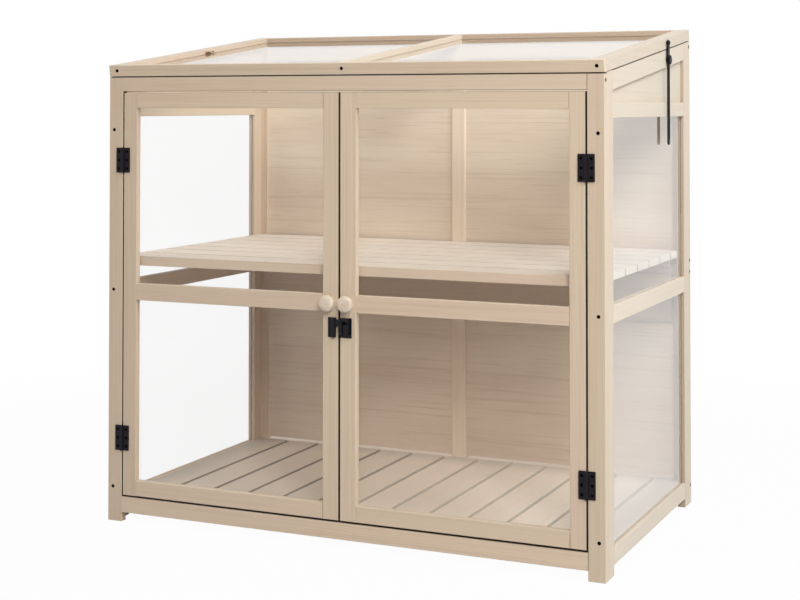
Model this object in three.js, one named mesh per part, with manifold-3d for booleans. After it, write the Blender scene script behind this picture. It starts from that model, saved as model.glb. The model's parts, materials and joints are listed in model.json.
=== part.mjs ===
// Wooden mini greenhouse: a slatted cabinet with clear side panes, two glazed doors,
// a sloping glazed lid on a slotted stay, a slatted floor and one slatted shelf.
// Millimetres, +Z up, +X to the right of someone facing the doors, which face -Y.
// Heights are above the ground. Depths run from the front face of the front posts.
import * as THREE from 'three';
import { mergeVertices } from 'three/addons/utils/BufferGeometryUtils.js';
import Module from 'manifold-3d';

const wasm = await Module();
wasm.setup();

// Overall cabinet, without the lid
const cabinetWidth = 1000;
const cabinetDepth = 597;
const frontHeight = 857.8;
const rearHeight = 934.5;

// Timber and fits
const timberThick = 15;
const railHeight = 31.1;
const footHeight = 17.4;
const edgeEase = 0.7;
const easeShare = 0.25;
const endEase = 0.25;
const jointGroove = 0.45;
const fit = 0.3;
const overrun = 4;

// Posts: two boards at each corner, one in the front or rear frame and one in the side frame
const frontStileWide = 31;
const rearStileWide = 31;
const rearStileThick = 20;
const sideStileWide = 50;

// Front frame
const frontTopRailHeight = 27.8;

// Side frames
const sideMiddleBottom = 429;
const gableDrop = 48.8;
const gableRailHeight = 27.7;
const slopeRailHeight = 34;
const gablePanelRecess = 6.4;
const gablePanelThick = 4;
const gablePanelLap = 2;

// Clear sheets
const paneThick = 2.5;
const paneEdge = 5.5;
const sidePaneRecess = 6.25;

// Rear frame
const rearTopRailHeight = 31.5;
const rearPanelThick = 4;
const rearPanelEdge = 5;
const rearPanelRecess = 5.8;
const rearPanelRise = 3.6;
const rearMuntinWide = 30;
const ledgerThick = 15;
const ledgerHeight = 15;

// Floor
const floorSlatThick = 13;
const floorSlatPitch = 76.6;
const floorSlatGap = 8;
const bearerThick = 20;
const bearerShares = [0, 0.5, 1];

// Shelf
const shelfTop = 510.5;
const shelfFrontSetback = 3.9;
const shelfFrontThick = 18.2;
const shelfSlatThick = 13;
const shelfSlatPitch = 80.7;
const shelfSlatGap = 6.5;
const battenWide = 20;
const battenShares = [0.02, 0.5, 0.98];
const cleatHeight = 15;
const cleatThick = 14;
const cleatLong = 28;

// Doors
const doorHingeGap = 2.6;
const doorMeetingGap = 3;
const doorTopGap = 2.6;
const doorBottomGap = 2.8;
const hingeStileWide = 29.5;
const meetingStileWide = 32;
const doorTopRailHeight = 29.4;
const doorMiddleRailBottom = 427.5;
const doorMiddleRailHeight = 32;
const doorBottomRailHeight = 29.7;
const doorPaneCover = 0.3;

// Door knobs
const knobRadius = 14.7;
const knobReach = 22;
const knobFootRadius = 7.6;
const knobHeight = 444.5;
const knobInset = 17;
const knobSides = 24;

// Hinges
const hingeLong = 48;
const hingeReach = 15.15;
const leafThick = 1.5;
const leafCorner = 0.8;
const barrelRadius = 2.85;
const pinRadius = 1.3;
const pinClearance = 0.25;
const knuckleCount = 5;
const knuckleGap = 0.4;
const barrelSides = 16;
const leafHoleRadius = 3.3;
const leafHoleFootRadius = 2;
const leafHoleOut = 9.2;
const leafHoleSpacing = 16.4;
const leafHoleSides = 12;
const upperHingeDrop = 130.4;
const lowerHingeRise = 109.7;
const lidHingeShare = 0.62;

// Lid
const lidThick = 22;
const lidGap = 1.2;
const lidFrontThick = 15;
const lidSideWide = 28;
const lidCentreWide = 15;
const lidBackThick = 15;
const lidPaneRise = 9.75;
const lidCentreEdge = 4.5;

// Slotted stay on the right, and its thumb knob
const stayBack = 414;
const stayWide = 12;
const stayThick = 2.7;
const stayStandOff = 2.35;
const stayPivotRise = 12;
const stayLong = 203;
const stayTopReach = 5.8;
const slotWide = 8.4;
const slotTop = 29;
const slotBottom = 187;
const pivotRadius = 1.6;
const pivotHeadRadius = 4;
const pivotHeadThick = 2;
const pivotWasherRadius = 3.6;
const pivotDepth = 12;
const boltDrop = 33;
const boltRadius = 1.5;
const boltDepth = 11;
const boltCollarRadius = 5;
const thumbRadius = 9;
const thumbThick = 3.6;
const thumbFluteRadius = 1.6;
const thumbFlutes = 10;
const roundSides = 20;

// Latch across the meeting stiles
const latchBottom = 382;
const latchHeight = 36;
const latchPlateThick = 1.5;
const keeperWide = 16;
const keeperInset = 4.5;
const keeperStripWide = 6;
const keeperRise = 6;
const latchBodyWide = 23;
const latchBodyInset = 0.8;
const latchBossWide = 20;
const latchBossRise = 7.5;
const latchBossDrop = 30;
const latchWall = 1.6;
const boltTall = 11;
const boltThick = 3.6;
const boltFromTop = 3.4;
const boltPast = 1.6;
const boltTravel = 10;
const fingerWide = 2.8;
const fingerTall = 5;
const fingerRise = 2.4;
const latchBarrelWide = 7.5;
const latchGrooveWide = 2.6;
const latchGrooveDeep = 2.4;

// Colours
const timberColour = 0xd1beaa;
const panelColour = 0xd3c1ab;
const sheetColour = 0xf2f5f4;
const blackColour = 0x37343a;

const timber = new THREE.MeshStandardMaterial({ name: 'timber', color: timberColour, roughness: 0.75 });
const panel = new THREE.MeshStandardMaterial({ name: 'panel', color: panelColour, roughness: 0.8 });
const clear = new THREE.MeshStandardMaterial({
  name: 'clear_sheet',
  color: sheetColour,
  roughness: 0.08,
  transparent: true,
  opacity: 0.35,
});
const black = new THREE.MeshStandardMaterial({
  name: 'black_metal',
  color: blackColour,
  roughness: 0.5,
  metalness: 0.6,
});

// Places that several pieces share
const half = cabinetWidth / 2;
const slope = Math.atan2(rearHeight - frontHeight, cabinetDepth);
const topAt = (depth) => frontHeight + depth * Math.tan(slope);
const railTop = footHeight + railHeight;
const sideInner = half - timberThick;
const frontInner = half - frontStileWide;
const rearFace = cabinetDepth - rearStileThick;
const sideFront = sideStileWide;
const sideRear = cabinetDepth - sideStileWide;
const sideMiddleTop = sideMiddleBottom + railHeight;
const gableRailTop = Math.min(frontHeight, rearHeight) - gableDrop;
const gableRailBottom = gableRailTop - gableRailHeight;
const shelfUnder = shelfTop - shelfFrontThick;
const frontTopRailBottom = frontHeight - frontTopRailHeight;

// Outlines are lists of [a, b] points, anticlockwise
const rectangle = (a, b) => [[a[0], b[0]], [a[1], b[0]], [a[1], b[1]], [a[0], b[1]]];

const circle = (radius, sides, a = 0, b = 0) => Array.from({ length: sides }, (_, step) => {
  const angle = (2 * Math.PI * step) / sides;
  return [a + radius * Math.cos(angle), b + radius * Math.sin(angle)];
});

// Cuts each outward corner of an outline back by the same small distance
const eased = (outline, ease = edgeEase) => outline.flatMap((point, index) => {
  const before = outline.at(index - 1);
  const after = outline[(index + 1) % outline.length];
  const back = [before[0] - point[0], before[1] - point[1]];
  const on = [after[0] - point[0], after[1] - point[1]];
  const turn = on[0] * back[1] - on[1] * back[0];
  if (turn <= 0) {
    return [point];
  }
  const short = Math.min(ease, Math.hypot(...back) * easeShare, Math.hypot(...on) * easeShare);
  const step = (way) => {
    const length = Math.hypot(...way);
    return [point[0] + (way[0] * short) / length, point[1] + (way[1] * short) / length];
  };
  return [step(back), step(on)];
});

const solidOf = (source) => {
  source.deleteAttribute('normal');
  source.deleteAttribute('uv');
  const merged = mergeVertices(source);
  const corners = [];
  for (let at = 0; at < merged.index.count; at += 3) {
    const [a, b, c] = [0, 1, 2].map((step) => merged.index.getX(at + step));
    if (a !== b && b !== c && c !== a) {
      corners.push(a, b, c);
    }
  }
  const mesh = new wasm.Mesh({
    numProp: 3,
    vertProperties: new Float32Array(merged.attributes.position.array),
    triVerts: new Uint32Array(corners),
  });
  return new wasm.Manifold(mesh);
};

const axisFrames = {
  x: [[0, 1, 0], [0, 0, 1], [1, 0, 0]],
  y: [[0, 0, 1], [1, 0, 0], [0, 1, 0]],
  z: [[1, 0, 0], [0, 1, 0], [0, 0, 1]],
};

// Sweeps an outline along an axis: Y-Z along x, Z-X along y, X-Y along z
const sweep = (axis, outline, [from, to], endBevel = 0) => {
  const shape = new THREE.Shape(outline.map(([a, b]) => new THREE.Vector2(a, b)));
  const geometry = new THREE.ExtrudeGeometry(shape, {
    depth: to - from - 2 * endBevel,
    bevelEnabled: endBevel > 0,
    bevelThickness: endBevel,
    bevelSize: endBevel,
    bevelOffset: -endBevel,
    bevelSegments: 1,
    steps: 1,
  });
  geometry.translate(0, 0, from + endBevel);
  const [u, v, w] = axisFrames[axis].map((way) => new THREE.Vector3(...way));
  geometry.applyMatrix4(new THREE.Matrix4().makeBasis(u, v, w));
  return solidOf(geometry);
};

const sections = {
  x: (x, y, z) => [rectangle(y, z), x],
  y: (x, y, z) => [rectangle(z, x), y],
  z: (x, y, z) => [rectangle(x, y), z],
};

const block = (x, y, z) => sweep('z', rectangle(x, y), z);

// A planed board along its grain, with eased edges and lightly broken ends
const board = (grain, x, y, z) => {
  const [outline, length] = sections[grain](x, y, z);
  return sweep(grain, eased(outline), length, endEase);
};

const join = (solids) => solids.reduce((whole, solid) => whole.add(solid));
const cut = (solid, cutters) => cutters.reduce((rest, cutter) => rest.subtract(cutter), solid);

// Turned shapes: points are [radius, height] up the z axis
const turned = (profile, sides) => {
  const points = profile.map(([radius, height]) => new THREE.Vector2(radius, height));
  const geometry = new THREE.LatheGeometry(points, sides);
  geometry.rotateX(Math.PI / 2);
  return solidOf(geometry);
};

const placed = (solid, ways, at) => {
  const [u, v, w] = ways.map((way) => new THREE.Vector3(...way));
  const matrix = new THREE.Matrix4().makeBasis(u, v, w).setPosition(...at);
  return solid.transform(matrix.elements);
};

const nodeOf = (name, solid, material) => {
  const mesh = solid.getMesh();
  const indexed = new THREE.BufferGeometry();
  indexed.setAttribute('position', new THREE.Float32BufferAttribute(mesh.vertProperties, 3));
  indexed.setIndex(Array.from(mesh.triVerts));
  const geometry = indexed.toNonIndexed();
  geometry.computeVertexNormals();
  const node = new THREE.Mesh(geometry, material);
  node.name = name;
  return node;
};

// A range on one side of the middle: side is -1 on the left and 1 on the right
const span = (side, inner, outer) => (side < 0 ? [-outer, -inner] : [inner, outer]);
const grown = (range, by) => [range[0] - by, range[1] + by];
const shrunk = (range, by) => grown(range, -by);
const sides = [['left', -1], ['right', 1]];
const staySide = sides[1][1];
const stayPivotHeight = topAt(stayBack) + lidGap + stayPivotRise;

// A sheet and the slot that holds it, which is larger all round by the fit
const sheet = (x, y, z) => ({
  solid: block(x, y, z),
  slot: block(grown(x, fit), grown(y, fit), grown(z, fit)),
});

// Slats across a range, the last one cut to what is left
const slatRanges = ([from, to], pitch, gap) => {
  const ranges = [];
  for (let start = from; start < to - gap; start += pitch) {
    ranges.push([start, Math.min(start + pitch - gap, to)]);
  }
  return ranges;
};

const cabinet = new THREE.Group();
cabinet.name = 'cabinet';

const aboveSlope = sweep('x', [
  [-overrun, topAt(-overrun)],
  [cabinetDepth + overrun, topAt(cabinetDepth + overrun)],
  [cabinetDepth + overrun, rearHeight + rearHeight],
  [-overrun, rearHeight + rearHeight],
], [-cabinetWidth, cabinetWidth]);

// Side panes
const sidePaneY = grown([sideFront, sideRear], paneEdge);
const sidePane = (side, low, high) => sheet(
  span(side, half - sidePaneRecess - paneThick, half - sidePaneRecess),
  sidePaneY,
  grown([low, high], paneEdge),
);
const sidePanes = Object.fromEntries(sides.map(([word, side]) => [word, {
  lower: sidePane(side, railTop, sideMiddleBottom),
  upper: sidePane(side, sideMiddleTop, gableRailBottom),
}]));

// Rear sheet, one piece behind the muntin and the shelf rail
const rearTopRailBottom = rearHeight - rearTopRailHeight;
const rearSheetY = [rearFace + rearPanelRecess, rearFace + rearPanelRecess + rearPanelThick];
const rearInner = half - rearStileWide;
const rearSheet = sheet(
  [-rearInner - rearPanelEdge, rearInner + rearPanelEdge],
  rearSheetY,
  [railTop + rearPanelRise, rearTopRailBottom + rearPanelEdge],
);

// Posts: an L of two boards with a fine groove where they meet on the outside
const frontPostOutline = [
  [half, 0],
  [half, timberThick - jointGroove],
  [half - jointGroove, timberThick],
  [half, timberThick + jointGroove],
  [half, sideFront],
  [sideInner, sideFront],
  [sideInner, timberThick],
  [frontInner, timberThick],
  [frontInner, 0],
];
const rearPostOutline = [
  [half, sideRear],
  [half, cabinetDepth],
  [sideInner + jointGroove, cabinetDepth],
  [sideInner, cabinetDepth - jointGroove],
  [sideInner - jointGroove, cabinetDepth],
  [rearInner, cabinetDepth],
  [rearInner, rearFace],
  [sideInner, rearFace],
  [sideInner, sideRear],
];
const mirrored = (outline) => outline.map(([a, b]) => [-a, b]).reverse();
const postSolid = (side, outline) => {
  const section = eased(side < 0 ? mirrored(outline) : outline);
  return cut(sweep('z', section, [0, Math.max(frontHeight, rearHeight) + overrun], endEase), [aboveSlope]);
};

for (const [word, side] of sides) {
  const { lower, upper } = sidePanes[word];
  const cleat = block(
    span(side, sideInner - cleatThick, sideInner),
    [timberThick + edgeEase, timberThick + edgeEase + cleatLong],
    [shelfUnder - fit - cleatHeight, shelfUnder - fit],
  );
  const frontPost = join([postSolid(side, frontPostOutline), cleat]);
  const rearPost = postSolid(side, rearPostOutline);
  const sideX = span(side, sideInner, half);
  const railY = shrunk([sideFront, sideRear], fit);
  const bottomRail = board('y', sideX, railY, [footHeight, railTop]);
  const middleRail = board('y', sideX, railY, [sideMiddleBottom, sideMiddleTop]);
  const gableRail = board('y', sideX, railY, [gableRailBottom, gableRailTop]);
  const slopeRail = sweep('x', eased([
    [railY[0], topAt(railY[0]) - slopeRailHeight],
    [railY[1], topAt(railY[1]) - slopeRailHeight],
    [railY[1], topAt(railY[1])],
    [railY[0], topAt(railY[0])],
  ]), sideX, endEase);
  const gableSheet = sweep('x', [
    [railY[0], gableRailTop - gablePanelLap],
    [railY[1], gableRailTop - gablePanelLap],
    [railY[1], topAt(railY[1]) - slopeRailHeight + gablePanelLap],
    [railY[0], topAt(railY[0]) - slopeRailHeight + gablePanelLap],
  ], span(side, half - gablePanelRecess - gablePanelThick, half - gablePanelRecess));
  const boltBore = sweep(
    'x',
    circle(boltRadius + fit, roundSides, stayBack, stayPivotHeight - boltDrop),
    span(side, half - boltDepth - fit, half + overrun),
  );
  const gableCuts = side === staySide ? [upper.slot, boltBore] : [upper.slot];
  const gable = cut(join([gableRail, slopeRail, gableSheet]), gableCuts);
  cabinet.add(
    nodeOf(`${word}_front_post`, cut(frontPost, [lower.slot, upper.slot]), timber),
    nodeOf(`${word}_rear_post`, cut(rearPost, [lower.slot, upper.slot, rearSheet.slot]), timber),
    nodeOf(`${word}_bottom_rail`, cut(bottomRail, [lower.slot]), timber),
    nodeOf(`${word}_middle_rail`, cut(middleRail, [lower.slot, upper.slot]), timber),
    nodeOf(`${word}_gable`, gable, timber),
    nodeOf(`${word}_lower_pane`, lower.solid, clear),
    nodeOf(`${word}_upper_pane`, upper.solid, clear),
  );
}

// Front rails
const frontRailX = [-frontInner + fit, frontInner - fit];
const frontTopRail = sweep('x', eased([
  [0, frontTopRailBottom],
  [timberThick, frontTopRailBottom],
  [timberThick, topAt(timberThick)],
  [0, topAt(0)],
]), frontRailX, endEase);
const frontBottomRail = board('x', frontRailX, [0, timberThick], [footHeight, railTop]);
cabinet.add(
  nodeOf('front_top_rail', frontTopRail, timber),
  nodeOf('front_bottom_rail', frontBottomRail, timber),
);

// Rear frame: rails and muntin around the sheet, with a ledger that carries the shelf
const rearRailX = [-rearInner + fit, rearInner - fit];
const rearY = [rearFace, cabinetDepth];
const shelfRailTop = shelfUnder - fit;
const rearTopRail = sweep('x', eased([
  [rearFace, rearTopRailBottom],
  [cabinetDepth, rearTopRailBottom],
  [cabinetDepth, topAt(cabinetDepth)],
  [rearFace, topAt(rearFace)],
]), rearRailX, endEase);
const muntinX = [-rearMuntinWide / 2, rearMuntinWide / 2];
const muntinZ = [railTop - edgeEase * 2, rearTopRailBottom + edgeEase * 2];
const rearFrame = cut(join([
  rearTopRail,
  board('x', rearRailX, rearY, [footHeight, railTop]),
  board('x', rearRailX, rearY, [shelfRailTop - railHeight, shelfRailTop]),
  board('z', muntinX, rearY, muntinZ),
  board('x', rearRailX, [rearFace - ledgerThick, rearFace + edgeEase * 2],
    [shelfRailTop - ledgerHeight, shelfRailTop]),
]), [rearSheet.slot]);
cabinet.add(
  nodeOf('rear_frame', rearFrame, timber),
  nodeOf('rear_panel', rearSheet.solid, panel),
);

// Floor: slats from front to back on bearers
const insideX = shrunk([-sideInner, sideInner], fit);
const insideY = shrunk([timberThick, rearFace], fit);
const floorSlats = slatRanges(insideX, floorSlatPitch, floorSlatGap).map((x) => (
  board('y', x, insideY, [railTop - floorSlatThick, railTop])
));
const bearers = bearerShares.map((share) => {
  const front = insideY[0] + share * (insideY[1] - insideY[0] - bearerThick);
  const top = railTop - floorSlatThick + endEase;
  return board('x', insideX, [front, front + bearerThick], [footHeight, top]);
});
cabinet.add(nodeOf('floor', join([...floorSlats, ...bearers]), timber));

// Shelf: a deep front slat and thinner slats behind it, on battens
const shelfY = [timberThick + shelfFrontSetback, insideY[1]];
const shelfSlats = slatRanges(shelfY, shelfSlatPitch, shelfSlatGap).map((y, index) => {
  const thick = index ? shelfSlatThick : shelfFrontThick;
  return board('x', insideX, y, [shelfTop - thick, shelfTop]);
});
const battens = battenShares.map((share) => {
  const left = insideX[0] + share * (insideX[1] - insideX[0] - battenWide);
  const battenY = [shelfY[0] + shelfSlatPitch - overrun * 2, shelfY[1]];
  return board('y', [left, left + battenWide], battenY,
    [shelfUnder, shelfTop - shelfSlatThick + edgeEase]);
});
cabinet.add(nodeOf('shelf', join([...shelfSlats, ...battens]), timber));

// Hinge leaf: pin along z at the origin, plate along +x, wood behind it at +y
const pinOut = barrelRadius + fit;
const knuckleLong = hingeLong / knuckleCount;
const knuckleZ = (index, by) => {
  const start = -hingeLong / 2 + index * knuckleLong;
  return grown([start, start + knuckleLong], -by);
};
const leafHoleTaper = (leafHoleRadius - leafHoleFootRadius) / leafThick;
const leafHole = turned([
  [0, -overrun],
  [leafHoleFootRadius - leafHoleTaper * overrun, -overrun],
  [leafHoleRadius + leafHoleTaper * overrun, leafThick + overrun],
  [0, leafThick + overrun],
], leafHoleSides);
const hingeLeaf = (first) => {
  const own = [];
  const other = [];
  for (let index = 0; index < knuckleCount; index += 1) {
    (index % 2 === first ? own : other).push(index);
  }
  const plate = sweep('y', eased(rectangle([-hingeLong / 2, hingeLong / 2], [0, hingeReach]), leafCorner),
    [barrelRadius - leafThick, barrelRadius]);
  const knuckles = own.map((index) => (
    sweep('z', circle(barrelRadius, barrelSides), knuckleZ(index, knuckleGap / 2))
  ));
  const clearance = barrelRadius + fit;
  const notches = other.map((index) => (
    block([-clearance, clearance], [-clearance, clearance], knuckleZ(index, -knuckleGap / 2))
  ));
  const screwHoles = [-leafHoleSpacing, 0, leafHoleSpacing].map((height) => (
    placed(leafHole, [[1, 0, 0], [0, 0, 1], [0, -1, 0]], [leafHoleOut, barrelRadius, height])
  ));
  const leaf = join([cut(plate, [...notches, ...screwHoles]), ...knuckles]);
  const pinZ = [-hingeLong / 2, hingeLong / 2];
  if (first === 0) {
    return leaf.add(sweep('z', circle(pinRadius, barrelSides), pinZ));
  }
  const bore = circle(pinRadius + pinClearance, barrelSides);
  return leaf.subtract(sweep('z', bore, grown(pinZ, overrun)));
};
const pinnedLeaf = hingeLeaf(0);
const swingingLeaf = hingeLeaf(1);

// Doors: each group sits on its hinge pin, and its pieces are placed about that pin
const doorZ = [railTop + doorBottomGap, frontTopRailBottom - doorTopGap];
const doorOuter = frontInner - doorHingeGap;
const doorInner = doorMeetingGap / 2;
const pinX = frontInner - doorHingeGap / 2;
const doorY = [0, timberThick];
const doorPaneY = [timberThick - doorPaneCover - paneThick, timberThick - doorPaneCover];
const hingeHeights = [['upper', doorZ[1] - upperHingeDrop], ['lower', doorZ[0] + lowerHingeRise]];

const turnedKnob = turned([
  [0, 0],
  [knobFootRadius, 0],
  [knobFootRadius, knobReach * 0.3],
  [knobRadius * 0.84, knobReach * 0.42],
  [knobRadius, knobReach * 0.53],
  [knobRadius, knobReach * 0.82],
  [knobRadius * 0.93, knobReach * 0.93],
  [knobRadius * 0.78, knobReach],
  [0, knobReach],
], knobSides);

const latchPlateY = [-fit - latchPlateThick, -fit];
const latchZ = [latchBottom, latchBottom + latchHeight];
const boltZ = [latchZ[1] - boltFromTop - boltTall, latchZ[1] - boltFromTop];
const boltY = [latchPlateY[0] - fit - boltThick, latchPlateY[0] - fit];
const keeperX = [-doorInner - keeperInset - keeperWide, -doorInner - keeperInset];
const latchBodyX = [doorInner + latchBodyInset, doorInner + latchBodyInset + latchBodyWide];
const bossX = [latchBodyX[0], latchBodyX[0] + latchBossWide];
const bossZ = [latchZ[1] - latchBossDrop, latchZ[1]];
const boltX = [keeperX[1] - keeperStripWide - boltPast, bossX[1] - latchWall - fit - boltTravel];
const fingerX = [boltX[1] - fit - fingerWide, boltX[1] - fit];
const boltMiddle = (boltZ[0] + boltZ[1]) / 2;
const fingerZ = [boltMiddle - fingerTall / 2, boltMiddle + fingerTall / 2];
const bossFront = latchPlateY[0] - latchBossRise;
const boltSlot = block(grown(boltX, boltTravel + fit), grown(boltY, fit), grown(boltZ, fit));

const latchKeeper = () => cut(join([
  sweep('y', eased(rectangle(latchZ, keeperX)), latchPlateY),
  sweep('y', eased(rectangle(latchZ, [keeperX[1] - keeperStripWide, keeperX[1]])),
    [latchPlateY[0] - keeperRise, latchPlateY[1]], edgeEase),
]), [boltSlot]);

const grooveX = [bossX[0] + latchBarrelWide, bossX[0] + latchBarrelWide + latchGrooveWide];
const latchBody = () => cut(join([
  sweep('y', eased(rectangle(latchZ, latchBodyX)), latchPlateY),
  sweep('y', eased(rectangle(bossZ, bossX)), [bossFront, latchPlateY[1]], edgeEase),
]), [
  block([bossX[0] - overrun, bossX[1] - latchWall], grown(boltY, fit), grown(boltZ, fit)),
  block([fingerX[0] - fit, bossX[1] - latchWall], [bossFront - overrun, boltY[0]], grown(fingerZ, fit)),
  block(grooveX, [bossFront - overrun, bossFront + latchGrooveDeep], [bossZ[0] - overrun, fingerZ[0]]),
]);

const latchBolt = () => join([
  block(boltX, boltY, boltZ),
  block(fingerX, [bossFront - fingerRise, boltY[1]], fingerZ),
]);

for (const [word, side] of sides) {
  const door = new THREE.Group();
  door.name = `${word}_door`;
  door.position.set(side * pinX, -pinOut, 0);
  const hingeStileX = span(side, doorOuter - hingeStileWide, doorOuter);
  const meetingStileX = span(side, doorInner, doorInner + meetingStileWide);
  const openX = span(side, doorInner + meetingStileWide, doorOuter - hingeStileWide);
  const railX = shrunk(openX, fit);
  const topRailZ = [doorZ[1] - doorTopRailHeight, doorZ[1]];
  const middleRailZ = [doorMiddleRailBottom, doorMiddleRailBottom + doorMiddleRailHeight];
  const bottomRailZ = [doorZ[0], doorZ[0] + doorBottomRailHeight];
  const pane = sheet(
    grown(openX, paneEdge),
    doorPaneY,
    grown([bottomRailZ[1], topRailZ[0]], paneEdge),
  );
  const knobX = side * (doorInner + knobInset);
  const pieces = [
    [`${word}_door_hinge_stile`, cut(board('z', hingeStileX, doorY, doorZ), [pane.slot]), timber],
    [`${word}_door_meeting_stile`, cut(board('z', meetingStileX, doorY, doorZ), [pane.slot]), timber],
    [`${word}_door_top_rail`, cut(board('x', railX, doorY, topRailZ), [pane.slot]), timber],
    [`${word}_door_middle_rail`, cut(board('x', railX, doorY, middleRailZ), [pane.slot]), timber],
    [`${word}_door_bottom_rail`, cut(board('x', railX, doorY, bottomRailZ), [pane.slot]), timber],
    [`${word}_door_pane`, pane.solid, clear],
    [`${word}_door_knob`, placed(turnedKnob, [[1, 0, 0], [0, 0, 1], [0, -1, 0]],
      [knobX, -fit, knobHeight]), timber],
  ];
  for (const [level, height] of hingeHeights) {
    const at = [side * pinX, -pinOut, height];
    cabinet.add(nodeOf(`${word}_${level}_hinge_post_leaf`,
      placed(pinnedLeaf, [[side, 0, 0], [0, 1, 0], [0, 0, side]], at), black));
    pieces.push([`${word}_${level}_hinge_door_leaf`,
      placed(swingingLeaf, [[-side, 0, 0], [0, 1, 0], [0, 0, -side]], at), black]);
  }
  if (side < 0) {
    pieces.push(['latch_keeper', latchKeeper(), black]);
  } else {
    pieces.push(['latch_body', latchBody(), black], ['latch_bolt', latchBolt(), black]);
  }
  for (const [name, solid, material] of pieces) {
    const node = nodeOf(name, solid, material);
    node.position.set(-side * pinX, pinOut, 0);
    door.add(node);
  }
  cabinet.add(door);
}

// Lid: a flat frame laid on the slope, with its own level x, y and z
const lid = new THREE.Group();
lid.name = 'lid';
lid.position.set(0, 0, frontHeight + lidGap);
lid.rotation.x = slope;
const lidLong = cabinetDepth / Math.cos(slope);
const lidZ = [0, lidThick];
const lidSideY = [lidFrontThick + fit, lidLong];
const lidBackY = [lidLong - lidBackThick, lidLong];
const lidOpenY = [lidFrontThick, lidLong - lidBackThick];
const lidSideInner = half - lidSideWide;
const lidPaneZ = [lidPaneRise, lidPaneRise + paneThick];
const lidPanes = Object.fromEntries(sides.map(([word, side]) => [word, sheet(
  span(side, lidCentreWide / 2 - lidCentreEdge, lidSideInner + paneEdge),
  grown(lidOpenY, paneEdge),
  lidPaneZ,
)]));
const lidSlots = [lidPanes.left.slot, lidPanes.right.slot];

// Places in the lid's own plane for a depth and a height of the cabinet, and back
const toLid = (depth, height) => {
  const rise = height - frontHeight - lidGap;
  return [
    depth * Math.cos(slope) + rise * Math.sin(slope),
    rise * Math.cos(slope) - depth * Math.sin(slope),
  ];
};
const [stayPivotY, stayPivotZ] = toLid(stayBack, stayPivotHeight);

for (const [word, side] of sides) {
  const pivotBore = sweep('x', circle(pivotRadius + fit, roundSides, stayPivotY, stayPivotZ),
    span(side, half - pivotDepth - fit, half + overrun));
  const rail = board('y', span(side, lidSideInner, half), lidSideY, lidZ);
  const railCuts = side === staySide ? [...lidSlots, pivotBore] : lidSlots;
  lid.add(
    nodeOf(`lid_${word}_rail`, cut(rail, railCuts), timber),
    nodeOf(`lid_${word}_pane`, lidPanes[word].solid, clear),
  );
}
const lidRailX = [-lidSideInner + fit, lidSideInner - fit];
const lidCentreX = [-lidCentreWide / 2, lidCentreWide / 2];
lid.add(
  nodeOf('lid_front_rail', cut(board('x', [-half, half], [0, lidFrontThick], lidZ), lidSlots), timber),
  nodeOf('lid_back_rail', cut(board('x', lidRailX, lidBackY, lidZ), lidSlots), timber),
  nodeOf('lid_centre_rail', cut(board('y', lidCentreX, shrunk(lidOpenY, fit), lidZ), lidSlots), timber),
);

// Lid hinges on the rear faces, with their pins behind the gap under the lid
const lidPin = [lidLong + pinOut, -lidGap / 2];
const lidPinDepth = lidPin[0] * Math.cos(slope) - lidPin[1] * Math.sin(slope);
const lidPinHeight = frontHeight + lidGap + lidPin[0] * Math.sin(slope) + lidPin[1] * Math.cos(slope);
for (const [word, side] of sides) {
  const x = side * half * lidHingeShare;
  lid.add(nodeOf(`lid_${word}_hinge_lid_leaf`,
    placed(swingingLeaf, [[0, 0, 1], [0, -1, 0], [1, 0, 0]], [x, ...lidPin]), black));
  cabinet.add(nodeOf(`lid_${word}_hinge_frame_leaf`,
    placed(pinnedLeaf, [[0, 0, -1], [0, -1, 0], [-1, 0, 0]], [x, lidPinDepth, lidPinHeight]), black));
}

// Stay: a slotted strip on a pivot screw in the lid, and a thumb knob in the gable rail
const slotInset = slotWide / 2;
const roundedStrip = (wide, top, bottom) => {
  const radius = wide / 2;
  const steps = roundSides / 2;
  return Array.from({ length: 2 * (steps + 1) }, (_, index) => {
    const upper = index <= steps;
    const turn = (Math.PI * (index - (upper ? 0 : 1))) / steps;
    const centre = upper ? top - radius : bottom + radius;
    return [radius * Math.cos(turn), centre + radius * Math.sin(turn)];
  });
};
const stripX = [stayStandOff, stayStandOff + stayThick];
const strip = cut(sweep('x', roundedStrip(stayWide, stayTopReach, stayTopReach - stayLong), stripX), [
  sweep('x', roundedStrip(slotInset * 2, -slotTop, -slotBottom), grown(stripX, overrun)),
]);
const pivotScrew = turned([
  [0, -pivotDepth],
  [pivotRadius, -pivotDepth],
  [pivotRadius, fit],
  [pivotWasherRadius, fit],
  [pivotWasherRadius, stripX[0]],
  [pivotRadius, stripX[0]],
  [pivotRadius, stripX[1]],
  [pivotHeadRadius, stripX[1]],
  [pivotHeadRadius * 0.7, stripX[1] + pivotHeadThick],
  [0, stripX[1] + pivotHeadThick],
], roundSides);
const thumbStart = stripX[1] + fit;
const thumbBody = turned([
  [0, -boltDepth],
  [boltRadius, -boltDepth],
  [boltRadius, fit],
  [boltCollarRadius, fit],
  [boltCollarRadius, stripX[0] - fit],
  [boltRadius, stripX[0] - fit],
  [boltRadius, thumbStart],
  [thumbRadius * 0.9, thumbStart],
  [thumbRadius, thumbStart + thumbThick * 0.2],
  [thumbRadius, thumbStart + thumbThick * 0.8],
  [thumbRadius * 0.85, thumbStart + thumbThick],
  [0, thumbStart + thumbThick],
], thumbFlutes * 2);
const flutes = circle(thumbRadius + thumbFluteRadius / 2, thumbFlutes).map(([a, b]) => (
  sweep('z', circle(thumbFluteRadius, 8, a, b), [stripX[1] + fit / 2, thumbStart + thumbThick + overrun])
));
const thumbKnob = cut(thumbBody, flutes);

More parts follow.
